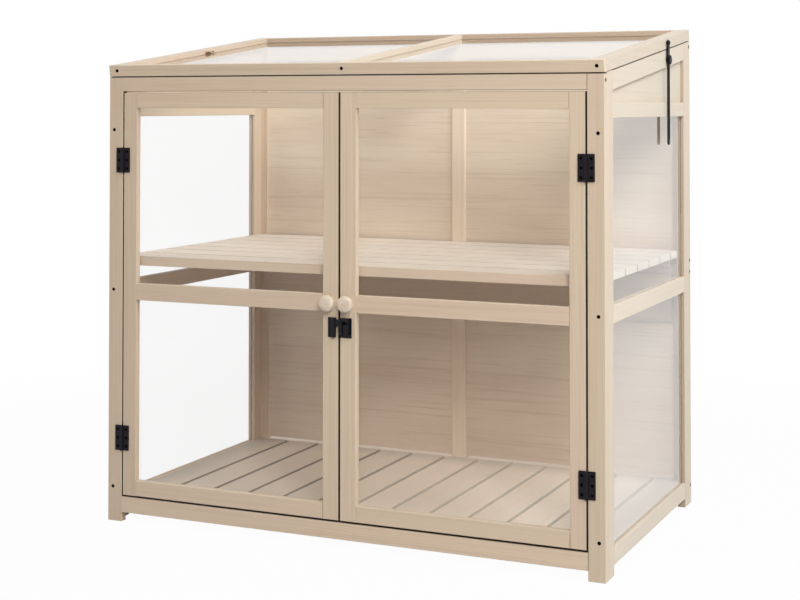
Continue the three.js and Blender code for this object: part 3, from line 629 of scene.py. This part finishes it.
class GREENHOUSE_OT_timber(bpy.types.Operator):
    """Gives every board its own softwood material, with the grain along the board"""

    bl_idname = "greenhouse.timber"
    bl_label = "Timber"

    def execute(self, context):
        settings = context.scene.greenhouse_timber
        group = timber_group(settings)
        names = sorted(name for name in names_of("timber") if not name.endswith("knob"))
        for index, name in enumerate(names):
            board = Board(group, name, 1.0 + index * 1.37)
            beside_gap = name.endswith(GAP_BOARDS)
            material = board.material(
                slats=board.slats(), knot=KNOTS.get(name), pale=board.pale,
                gap=FACE_GAP if beside_gap and not name.startswith("lid") else 0.0,
                lean=FLOOR_LEAN if name == "floor" else 0.0, rims=self.rims(board),
            )
            set_material(NODES[name], material)
            self.second_board(board)
            # painted shade: the faces looking into the gaps get a copy with little shine, painted
            # dark where they see little sky
            if beside_gap:
                board.dress("_edge", self.is_edge(board), gap=EDGE_GAP, shine=0.1)
            self.grooves(board)
        set_material(NODES["rear_panel"], plywood_material(settings))
        self.shelf_bearer(group)
        return {"FINISHED"}

    def shelf_bearer(self, group):
        """The board across the back under the shelf, in front of the muntin."""
        low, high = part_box("rear_frame")
        size = Vector((high.x - low.x - 1 * MM, *BEARER_SIZE))
        centre = Vector(((low.x + high.x) / 2, low.y + BEARER_BEHIND, BEARER_UP))
        shape = bmesh.new()
        bmesh.ops.create_cube(shape, size=1.0)
        shape.transform(Matrix.Translation(centre) @ Matrix.Diagonal((*size, 1.0)))
        edges = shape.edges[:]
        bmesh.ops.bevel(shape, geom=edges, offset=BEARER_EASE, segments=2, affect="EDGES")
        board = object_of("shelf_bearer", shape)
        set_material(board, timber_material(group, "shelf_bearer", "x", centre, 91.7, -0.1))
        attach(board, "cabinet")

    def rims(self, board):
        """The edges of the board's face that get painted shade as part of a gap, as (way, limit).
        """
        name, low, high = board.name, board.low, board.high
        if "_door_" in name and not name.startswith("left_door_hinge"):
            side = name.split("_")[0]
            low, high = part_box(f"{side}_door_hinge_stile")
            start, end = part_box(f"{side}_door_meeting_stile")
            edges = [(DOWN, -low.z), (UP, high.z), (RIGHT, max(high.x, end.x))]
            return edges + ([(LEFT, -min(low.x, start.x))] if side == "right" else [])
        if name in ("right_rear_post", "right_gable"):
            return [board.outermost(1)]
        under_lid = (UP, high.z - (high.y - low.y) * slope())
        return {
            "front_bottom_rail": [(UP, high.z)],
            "front_top_rail": [(DOWN, -low.z), under_lid],
            "left_front_post": [under_lid],
            "right_front_post": [(LEFT, -low.x), under_lid],
            "lid_front_rail": [(DOWN, -low.z)],
            "lid_right_rail": [board.outermost(-1)],
        }.get(name, ())

    def door_pane(self, name):
        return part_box(name.split("_")[0] + "_door_pane")

    def is_edge(self, board):
        """Tells the faces that look into the narrow gaps beside a board."""
        name = board.name
        if name.endswith("gable"):
            return lambda place, normal: normal.z > 0.5
        if name.startswith("lid"):
            lowest = board.outermost(-1)[1]
            return lambda place, normal: normal.z < -0.5 and place.dot(normal) > lowest - NEAR
        if "_door_" in name:
            heart = sum(self.door_pane(name), Vector()) / 2
            return lambda place, normal: abs(normal.y) < 0.5 and normal.dot(place - heart) > 0
        behind = FRONT_Y + BOARD_THICK + HAIR
        deepest = behind if name.endswith("post") else behind + FRONT_GROOVE
        return lambda place, normal: (
            abs(normal.y) < 0.5 and place.y < deepest and abs(place.x - MID_X) < HALF_X - HAIR
        )

    def grooves(self, board):
        """Grooves, slots and ledges lighter or darker than the board's other faces: painted light
        on some, painted shade on others, and none of the painted gap shade in the doors' grooves.
        """
        name = board.name
        # the doors' pane grooves keep the plain wood, without the painted gap shade
        if "_door_" in name:
            low, high = self.door_pane(name)
            heart = (low + high) / 2
            board.dress(
                "_groove",
                lambda place, normal: normal.dot(place - heart) < 0 if abs(normal.y) < 0.5
                else low.y - NEAR < place.y < high.y + NEAR,
            )
        # painted light: the pane groove's faces are lightened so the shade inside the groove shows
        # no dark line
        if name.endswith("rear_post"):
            start, end = (HALF_X - depth for depth in PANE_GROOVE)
            board.dress(
                "_groove",
                lambda place, normal: end < abs(place.x - MID_X) < start and normal.y < 0.9,
                tone=0.22, pale=1.0,
            )
        # painted shade: the right rear post's faces towards the front are darkened, as they stand
        # in shade
        if name == "right_rear_post":
            board.dress(
                "_front",
                lambda place, normal: normal.y < -0.5 and place.x > RIGHT_X - BOARD_THICK,
                tone=-0.26,
            )
        # painted shade: the lid rails' faces in and under the pane groove are darkened, with little
        # shine, as they stand in shade; the knot stays on them
        if name in ("lid_back_rail", "lid_left_rail"):
            low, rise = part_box("lid_left_pane")[0], slope()
            board.dress(
                "_groove",
                lambda place, normal: abs(normal.z) < 0.5 and (normal.x > 0.5 or normal.y < -0.5)
                and place.x > low.x - NEAR
                and place.z < low.z + (place.y - low.y) * rise + 1.5 * MM,
                tone=-0.34 if name == "lid_back_rail" else -0.18, knot=KNOTS.get(name), shine=0.2,
            )
        # painted light: the sill's top in front of the rear sheet is lightened into a bright line
        # at the back of the floor
        if name == "rear_frame":
            floor_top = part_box("floor")[1].z
            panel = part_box("rear_panel")[0].y
            board.dress(
                "_sill",
                lambda place, normal: normal.z > 0.9 and abs(place.z - floor_top) < NEAR
                and place.y < panel + NEAR,
                tone=0.22, pale=1.0,
            )
        # painted light and shade: the slots' walls are lightened, more towards the right, with
        # little shine, and painted darker to the left
        if name == "floor":
            board.dress(
                "_slots", lambda place, normal: abs(normal.x) > 0.9,
                tone=0.34, pale=0.5, shine=0.1, lean=FLOOR_LEAN,
            )

    def second_board(self, board):
        """A post's other board, the muntin and the shelf's front get a material of their own."""
        name, front = board.name, board.low.y + 0.4 * MM
        settings = {"grain": "z", "pale": board.pale}
        if name.endswith("front_post"):
            other = lambda place, normal: place.y > FRONT_Y + BOARD_THICK + HAIR
        elif name.endswith("rear_post"):
            other = lambda place, normal: abs(place.x - MID_X) < HALF_X - BOARD_THICK - HAIR
            settings["tone"] = board.tone + 0.04
        elif name == "rear_frame":
            other = lambda place, normal: abs(place.x - MID_X) < MUNTIN_HALF + HAIR
        elif name == "shelf":
            other = lambda place, normal: place.y < front
            settings = {"grain": "x", "tone": 0.08}
        else:
            return
        place, seed = board.centre + SECOND_SHIFT, board.seed + SECOND_SEED
        board.dress("_second", other, centre=place, seed=seed, **settings)


# --- sheets and fittings ---


class GREENHOUSE_OT_sheets(bpy.types.Operator):
    """Makes the panes clear acrylic"""

    bl_idname = "greenhouse.sheets"
    bl_label = "Clear sheets"

    def execute(self, context):
        settings = context.scene.greenhouse_sheets
        outer = sheet_material(settings, "", settings.tint, 1.0)
        lid_outer = sheet_material(settings, "_lid", settings.lid_tint, 1.0)
        inner = sheet_material(settings, "_inside", settings.inner_tint, settings.inside)
        edge = sheet_material(settings, "_edge", settings.tint, settings.edge)
        for name, node in NODES.items():
            if name.endswith("pane"):
                set_material(node, lid_outer if name.startswith("lid") else outer)
                node.data.materials.append(inner)
                node.data.materials.append(edge)
                outward = self.outward(name)
                for face in node.data.polygons:
                    turned = face.normal.dot(outward)
                    face.material_index = 0 if turned > 0.5 else 1 if turned < -0.5 else 2
        return {"FINISHED"}

    def outward(self, name):
        """The way that a pane's outer face looks."""
        if "door" in name:
            return FRONT
        if name.startswith("lid"):
            return UP
        return LEFT if name.startswith("left") else RIGHT


class GREENHOUSE_OT_fittings(bpy.types.Operator):
    """Coats the hinges, latch, stay and thumb knob black"""

    bl_idname = "greenhouse.fittings"
    bl_label = "Black fittings"

    def execute(self, context):
        settings = context.scene.greenhouse_fittings
        coated = black_material("black_coating", settings.black, settings.roughness, 0.16)
        glossy = black_material("glossy_black", settings.latch_black, settings.latch_roughness, 0.2)
        for name in names_of("black_metal"):
            set_material(NODES[name], glossy if name.startswith("latch") else coated)
        return {"FINISHED"}


# --- turned pieces and screws ---


def lathe(name, profile, steps=64):
    """A closed turned mesh about the z axis. The profile runs from the axis to the axis."""
    shape = bmesh.new()
    points = [shape.verts.new((radius, 0.0, height)) for radius, height in profile]
    for first, second in zip(points, points[1:]):
        shape.edges.new((first, second))
    bmesh.ops.spin(
        shape, geom=shape.verts[:] + shape.edges[:], cent=(0, 0, 0), axis=(0, 0, 1),
        angle=2 * math.pi, steps=steps, use_merge=False,
    )
    bmesh.ops.remove_doubles(shape, verts=shape.verts[:], dist=1e-6)
    bmesh.ops.recalc_face_normals(shape, faces=shape.faces[:])
    obj = object_of(name, shape)
    obj.data.shade_smooth()
    return obj


def smooth_profile(points, rounds=2):
    """Rounds a profile by corner cutting, keeping its ends."""
    for _ in range(rounds):
        cut = [points[0]]
        for (r0, z0), (r1, z1) in zip(points, points[1:]):
            cut.append((r0 * 0.75 + r1 * 0.25, z0 * 0.75 + z1 * 0.25))
            cut.append((r0 * 0.25 + r1 * 0.75, z0 * 0.25 + z1 * 0.75))
        cut.append(points[-1])
        points = cut
    return points


# Profile of a door knob from its foot to the middle of its face, as shares of radius and height
KNOB_PROFILE = (
    (0.0, 0.0), (0.54, 0.0), (0.55, 0.2), (0.60, 0.32), (0.84, 0.42), (1.0, 0.55), (1.0, 0.74),
    (0.97, 0.85), (0.86, 0.935), (0.66, 0.98), (0.36, 1.0), (0.0, 1.0),
)


class GREENHOUSE_OT_knobs(bpy.types.Operator):
    """Turns the two round door knobs from softwood"""

    bl_idname = "greenhouse.knobs"
    bl_label = "Door knobs"

    def execute(self, context):
        settings = context.scene.greenhouse_timber
        for index, side in enumerate(("left", "right")):
            node = f"{side}_door_knob"
            low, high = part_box(node)
            radius, height = (high.x - low.x) / 2, high.y - low.y
            profile = [(r * radius, z * height) for r, z in KNOB_PROFILE]
            profile = profile[:2] + smooth_profile(profile[1:])[1:]
            knob = lathe(f"{side}_turned_knob", profile)
            foot = Matrix.Translation(((low.x + high.x) / 2, high.y, (low.z + high.z) / 2))
            knob.data.transform(foot @ Matrix.Rotation(math.pi / 2, 4, "X"))
            set_material(knob, end_grain_material(settings, index))
            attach(knob, f"{side}_door")
            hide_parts(node)
        return {"FINISHED"}


# A screw head of unit radius, and one arm of its cross recess: its size and its middle's height
HEAD_PROFILE = ((0, -0.55), (0.45, -0.55), (0.98, -0.02), (1.0, 0.03), (0.94, 0.07), (0.0, 0.12))
HEAD_STEPS = 24
RECESS_ARM = (1.15, 0.24, 0.5)
RECESS_UP = 0.27
# How far the screw heads stand out from the boards
SCREW_PROUD = 0.05 * MM
# Screws in the front posts, in mm from the cabinet's middle and from the ground
POST_SCREWS_X = (-489, 488.5)
POST_SCREWS_Z = (756, 446, 66)
# Screws in the cabinet's sides, in mm behind its front and from the ground
SIDE_SCREWS = ((7.8, 846.5), (590.5, 922), (590.5, 489), (590.5, 466), (590.5, 36))
# Screws in the lid's front rail, in mm from the middle, and how far above its lower edge
LID_SCREWS_X = (-482.3, 4.6, 487.0)
LID_SCREWS_UP = 11.5 * MM
# Thickness of the lid's boards, square to its panes
LID_THICK = 22 * MM
# The hinges: radius round the pin, how far the pin stands out from the leaf, and the screw holes
PIN_RADIUS = 2.85 * MM
PIN_PROUD = 1.35 * MM
LEAF_HOLE_OUT = 9.2 * MM
LEAF_HOLE_SPACING = 16.4 * MM
LEAF_HOLE_SUNK = 0.35 * MM


def screw_head():
    """A countersunk head of unit radius with a cross recess, its top at z = 0."""
    head = lathe("screw_head", HEAD_PROFILE, HEAD_STEPS)
    cross = bmesh.new()
    for turn in (0, math.pi / 2):
        arm = bmesh.ops.create_cube(cross, size=1.0)["verts"]
        bmesh.ops.scale(cross, vec=RECESS_ARM, verts=arm)
        bmesh.ops.translate(cross, vec=(0.0, 0.0, RECESS_UP), verts=arm)
        bmesh.ops.rotate(cross, cent=(0, 0, 0), matrix=Matrix.Rotation(turn, 3, "Z"), verts=arm)
    tool = object_of("cross_recess", cross)
    bore = head.modifiers.new("recess", "BOOLEAN")
    bore.operation = "DIFFERENCE"
    bore.solver = "EXACT"
    bore.use_self = True
    bore.object = tool
    apply_modifiers(head)
    bpy.data.objects.remove(tool)
    head.data.shade_flat()
    return head


def screw_tree(head):
    """Screw heads on points. Each stands along its point's facing, turned by its own chance."""
    tree = bpy.data.node_groups.new("screws_on_points", "GeometryNodeTree")
    kinds = {"Geometry": "Geometry", "Head radius": "Float", "Seed": "Int", "Material": "Material"}
    for name, kind in kinds.items():
        tree.interface.new_socket(name, in_out="INPUT", socket_type="NodeSocket" + kind)
    tree.interface.new_socket("Geometry", in_out="OUTPUT", socket_type="NodeSocketGeometry")
    t = Tree(tree)
    given = t.add("NodeGroupInput", out=None).outputs
    points = t.add("GeometryNodeMeshToPoints", given["Geometry"])
    facing = t.add(
        "GeometryNodeInputNamedAttribute", named={"Name": "facing"}, data_type="FLOAT_VECTOR"
    )
    chance = t.add(
        "FunctionNodeRandomValue", named={2: 0.0, 3: math.pi, "Seed": given["Seed"]},
        data_type="FLOAT", out=1,
    )
    spin = t.add("ShaderNodeCombineXYZ", 0.0, 0.0, chance)
    stand = t.add(
        "FunctionNodeAlignEulerToVector", named={"Rotation": spin, "Vector": facing}, axis="Z"
    )
    shape = t.add("GeometryNodeObjectInfo", named={"Object": head}, out="Geometry")
    named = {"Points": points, "Instance": shape, "Rotation": stand, "Scale": given["Head radius"]}
    placed = t.add("GeometryNodeInstanceOnPoints", named=named)
    solid = t.add("GeometryNodeRealizeInstances", placed)
    named = {"Geometry": solid, "Material": given["Material"]}
    t.add("NodeGroupOutput", t.add("GeometryNodeSetMaterial", named=named))
    return tree


def screws(name, body, tree, places, radius, material, seed):
    """One mesh of screw heads on a body. places is a list of (point, facing)."""
    mesh = bpy.data.meshes.new(name)
    mesh.from_pydata([tuple(point) for point, _ in places], [], [])
    facing = mesh.attributes.new("facing", "FLOAT_VECTOR", "POINT")
    facing.data.foreach_set("vector", [value for _, way in places for value in way])
    obj = linked(name, mesh)
    modifier = obj.modifiers.new("screws", "NODES")
    modifier.node_group = tree
    values = {"Head radius": radius, "Seed": seed, "Material": material}
    for item in tree.interface.items_tree:
        if item.in_out == "INPUT" and item.name in values:
            modifier[item.identifier] = values[item.name]
    apply_modifiers(obj)
    if not obj.data.polygons:
        raise RuntimeError(f"{name} came out empty")
    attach(obj, body)


class GREENHOUSE_OT_screws(bpy.types.Operator):
    """Sets the screws in the boards, hinges and lid"""

    bl_idname = "greenhouse.screws"
    bl_label = "Screws"

    def execute(self, context):
        settings = context.scene.greenhouse_fittings
        rough = settings.screw_roughness
        steel = black_material("black_screws", settings.screw_black, rough, 0.03)
        head = screw_head()
        tree = screw_tree(head)
        normal = self.lid_normal()
        radius = settings.screw_radius
        screws("board_screws", "cabinet", tree, self.board_places(), radius, steel, 11)
        screws("lid_screws", "lid", tree, self.lid_places(normal), radius, steel, 12)
        radius = settings.hinge_screw_radius
        for body, places in self.hinge_places(normal).items():
            screws(f"hinge_screws_{body}", body, tree, places, radius, steel, 13)
        bpy.data.objects.remove(head)
        return {"FINISHED"}

    def board_places(self):
        """The screws in the front posts and in the cabinet's sides."""
        places = []
        for x in POST_SCREWS_X:
            for z in POST_SCREWS_Z:
                places.append(((MID_X + x * MM, FRONT_Y - SCREW_PROUD, z * MM), FRONT))
        for way in (LEFT, RIGHT):
            edge = MID_X + way.x * (HALF_X + SCREW_PROUD)
            for y, z in SIDE_SCREWS:
                places.append(((edge, FRONT_Y + y * MM, z * MM), way))
        return places

    def lid_places(self, normal):
        """The screws in the lid's front rail."""
        front = Vector((0.0, -normal.z, normal.y))
        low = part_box("lid_front_rail")[0]
        start = Vector((MID_X, FRONT_Y, low.z)) + normal * LID_SCREWS_UP + front * SCREW_PROUD
        return [(start + RIGHT * (x * MM), front) for x in LID_SCREWS_X]

    def hinge_places(self, normal):
        """The screws in the hinge leaves, for each body."""
        places = {"cabinet": [], "left_door": [], "lid": [], "right_door": []}
        for side in ("left", "right"):
            for level in ("upper", "lower"):
                for part, body in (("post", "cabinet"), ("door", f"{side}_door")):
                    places[body] += self.door_leaf_places(f"{side}_{level}_hinge_{part}_leaf")
            for part, body in (("frame", "cabinet"), ("lid", "lid")):
                places[body] += self.lid_leaf_places(f"lid_{side}_hinge_{part}_leaf", normal)
        return places

    def lid_normal(self):
        """Square to the lid's panes."""
        low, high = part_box("lid_left_rail")
        rise, run = high.z - low.z, high.y - low.y
        angle = math.atan2(rise - LID_THICK, run)
        for _ in range(8):
            up, along = LID_THICK * math.cos(angle), LID_THICK * math.sin(angle)
            angle = math.atan2(rise - up, run - along)
        return Vector((0.0, -math.sin(angle), math.cos(angle)))

    def door_leaf_places(self, node):
        """Three screws down a leaf of a door hinge."""
        low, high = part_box(node)
        pin_first = node.startswith("left") == ("door" in node)
        x, away = (low.x + PIN_RADIUS, RIGHT) if pin_first else (high.x - PIN_RADIUS, LEFT)
        pin = Vector((x, low.y + PIN_RADIUS, (low.z + high.z) / 2))
        return self.leaf_places(pin, away, FRONT, UP)

    def lid_leaf_places(self, node, normal):
        """Three screws along a leaf of a lid hinge, which the lid holds square to its panes."""
        low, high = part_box(node)
        z, away, out = low.z + PIN_RADIUS, normal, Vector((0.0, normal.z, -normal.y))
        if "frame" in node:
            z, away, out = high.z - PIN_RADIUS, DOWN, BACK
        pin = Vector(((low.x + high.x) / 2, high.y - PIN_RADIUS, z))
        return self.leaf_places(pin, away, out, RIGHT)

    def leaf_places(self, pin, away, out, along):
        """The countersunk holes lie in a row beside the pin, on the leaf's outer face."""
        middle = pin + away * LEAF_HOLE_OUT - out * (PIN_PROUD + LEAF_HOLE_SUNK)
        return [(middle + along * step * LEAF_HOLE_SPACING, out) for step in (-1, 0, 1)]


# --- stage ---

WHITE = (1.0, 1.0, 1.0, 1.0)
# The lamps: the setting with the power, the place, the size and the setting with the colour
LAMPS = (
    ("high_right", (3.0, -0.8, 3.0), 2.4, "cool"),
    ("rear_right", (4.0, 0.4, 2.2), 2.0, "cool"),
    ("front", (2.2, -3.6, 2.5), 1.6, "warm"),
    ("top", (0.2, 0.0, 4.0), 3.0, "warm"),
    ("left", (-3.8, -0.8, 2.2), 2.0, "rosy"),
    ("rear", (0.0, 4.4, 1.2), 2.2, "warm"),
)
LAMP_AIM = Vector((0.0, 0.0, 0.45))
# The studio floor: half its width, how far it is below the feet, how white it is under the part,
# and where it turns plain white
FLOOR_HALF = 30.0
FLOOR_DROP = 0.5 * MM
FLOOR_WHITE = 0.97
FLOOR_FADE = (1.0, 2.4)


def seen_white(tree):
    """Tells the rays that see plain white: camera, glossy and transmission rays."""
    path = tree.add("ShaderNodeLightPath", out=None).outputs
    seen = tree.maths("MAXIMUM", path["Is Camera Ray"], path["Is Glossy Ray"])
    return tree.maths("MAXIMUM", seen, path["Is Transmission Ray"])


class GREENHOUSE_OT_stage(bpy.types.Operator):
    """Builds the white studio: floor, sky, lamps and camera"""

    bl_idname = "greenhouse.stage"
    bl_label = "Stage"

    def execute(self, context):
        settings = context.scene.greenhouse_stage
        self.floor()
        self.sky(settings)
        for lamp in LAMPS:
            self.lamp(settings, *lamp)
        self.camera(settings)
        context.scene.view_settings.view_transform = "Standard"
        return {"FINISHED"}

    def floor(self):
        shape = bmesh.new()
        bmesh.ops.create_grid(shape, x_segments=1, y_segments=1, size=FLOOR_HALF)
        floor = object_of("studio_floor", shape)
        floor.location.z = -FLOOR_DROP
        material, t = new_material("studio_floor")
        glow = t.add("ShaderNodeEmission", WHITE, 1.0)
        matt = t.add("ShaderNodeBsdfDiffuse", (0.5, 0.5, 0.5, 1.0))
        away = t.vector("LENGTH", t.here(), out=1)
        white = t.plus(t.times(t.ramp(away, *FLOOR_FADE), 1.0 - FLOOR_WHITE), FLOOR_WHITE)
        share = t.times(seen_white(t), white)
        t.add("ShaderNodeOutputMaterial", t.add("ShaderNodeMixShader", share, matt, glow))
        set_material(floor, material)

    def sky(self, settings):
        world = bpy.data.worlds.new("studio_sky")
        bpy.context.scene.world = world
        world.use_nodes = True
        t = Tree(world.node_tree)
        strength = t.plus(t.times(seen_white(t), 1.0 - settings.sky), settings.sky)
        t.add("ShaderNodeOutputWorld", t.add("ShaderNodeBackground", WHITE, strength))

    def lamp(self, settings, name, place, size, tint):
        data = bpy.data.lights.new(f"{name}_lamp", "AREA")
        data.size, data.energy = size, getattr(settings, name)
        data.color = getattr(settings, tint)
        lamp = linked(f"{name}_lamp", data)
        lamp.location = place
        lamp.rotation_euler = (LAMP_AIM - Vector(place)).to_track_quat("-Z", "Y").to_euler()
        lamp.visible_glossy = False

    def camera(self, settings):
        data = bpy.data.cameras.new("camera")
        data.sensor_width = 36.0
        data.lens = settings.focal
        data.shift_y = settings.shift
        camera = linked("camera", data)
        camera.location = settings.place
        camera.rotation_euler = [math.radians(angle) for angle in settings.turn]
        bpy.context.scene.camera = camera


# --- panel and running ---

OPERATORS = (
    GREENHOUSE_OT_stage,
    GREENHOUSE_OT_timber,
    GREENHOUSE_OT_sheets,
    GREENHOUSE_OT_fittings,
    GREENHOUSE_OT_knobs,
    GREENHOUSE_OT_screws,
)
SETTINGS = {
    "greenhouse_timber": TimberSettings,
    "greenhouse_sheets": SheetSettings,
    "greenhouse_fittings": FittingSettings,
    "greenhouse_stage": StageSettings,
}


class GREENHOUSE_PT_panel(bpy.types.Panel):
    """Lists the steps that dress the greenhouse"""

    bl_label = "Greenhouse"
    bl_idname = "GREENHOUSE_PT_panel"
    bl_space_type = "VIEW_3D"
    bl_region_type = "UI"
    bl_category = "Greenhouse"

    def draw(self, context):
        for operator in OPERATORS:
            self.layout.operator(operator.bl_idname)
        for name, settings in SETTINGS.items():
            box = self.layout.box()
            for field in settings.__annotations__:
                box.prop(getattr(context.scene, name), field)


CLASSES = (*SETTINGS.values(), *OPERATORS, GREENHOUSE_PT_panel)


def register():
    for item in CLASSES:
        bpy.utils.register_class(item)
    for name, settings in SETTINGS.items():
        setattr(bpy.types.Scene, name, PointerProperty(type=settings))


def unregister():
    for name in SETTINGS:
        delattr(bpy.types.Scene, name)
    for item in reversed(CLASSES):
        bpy.utils.unregister_class(item)


def main():
    register()
    for operator in OPERATORS:
        group, name = operator.bl_idname.split(".")
        getattr(getattr(bpy.ops, group), name)()


if __name__ == "__main__":
    main()
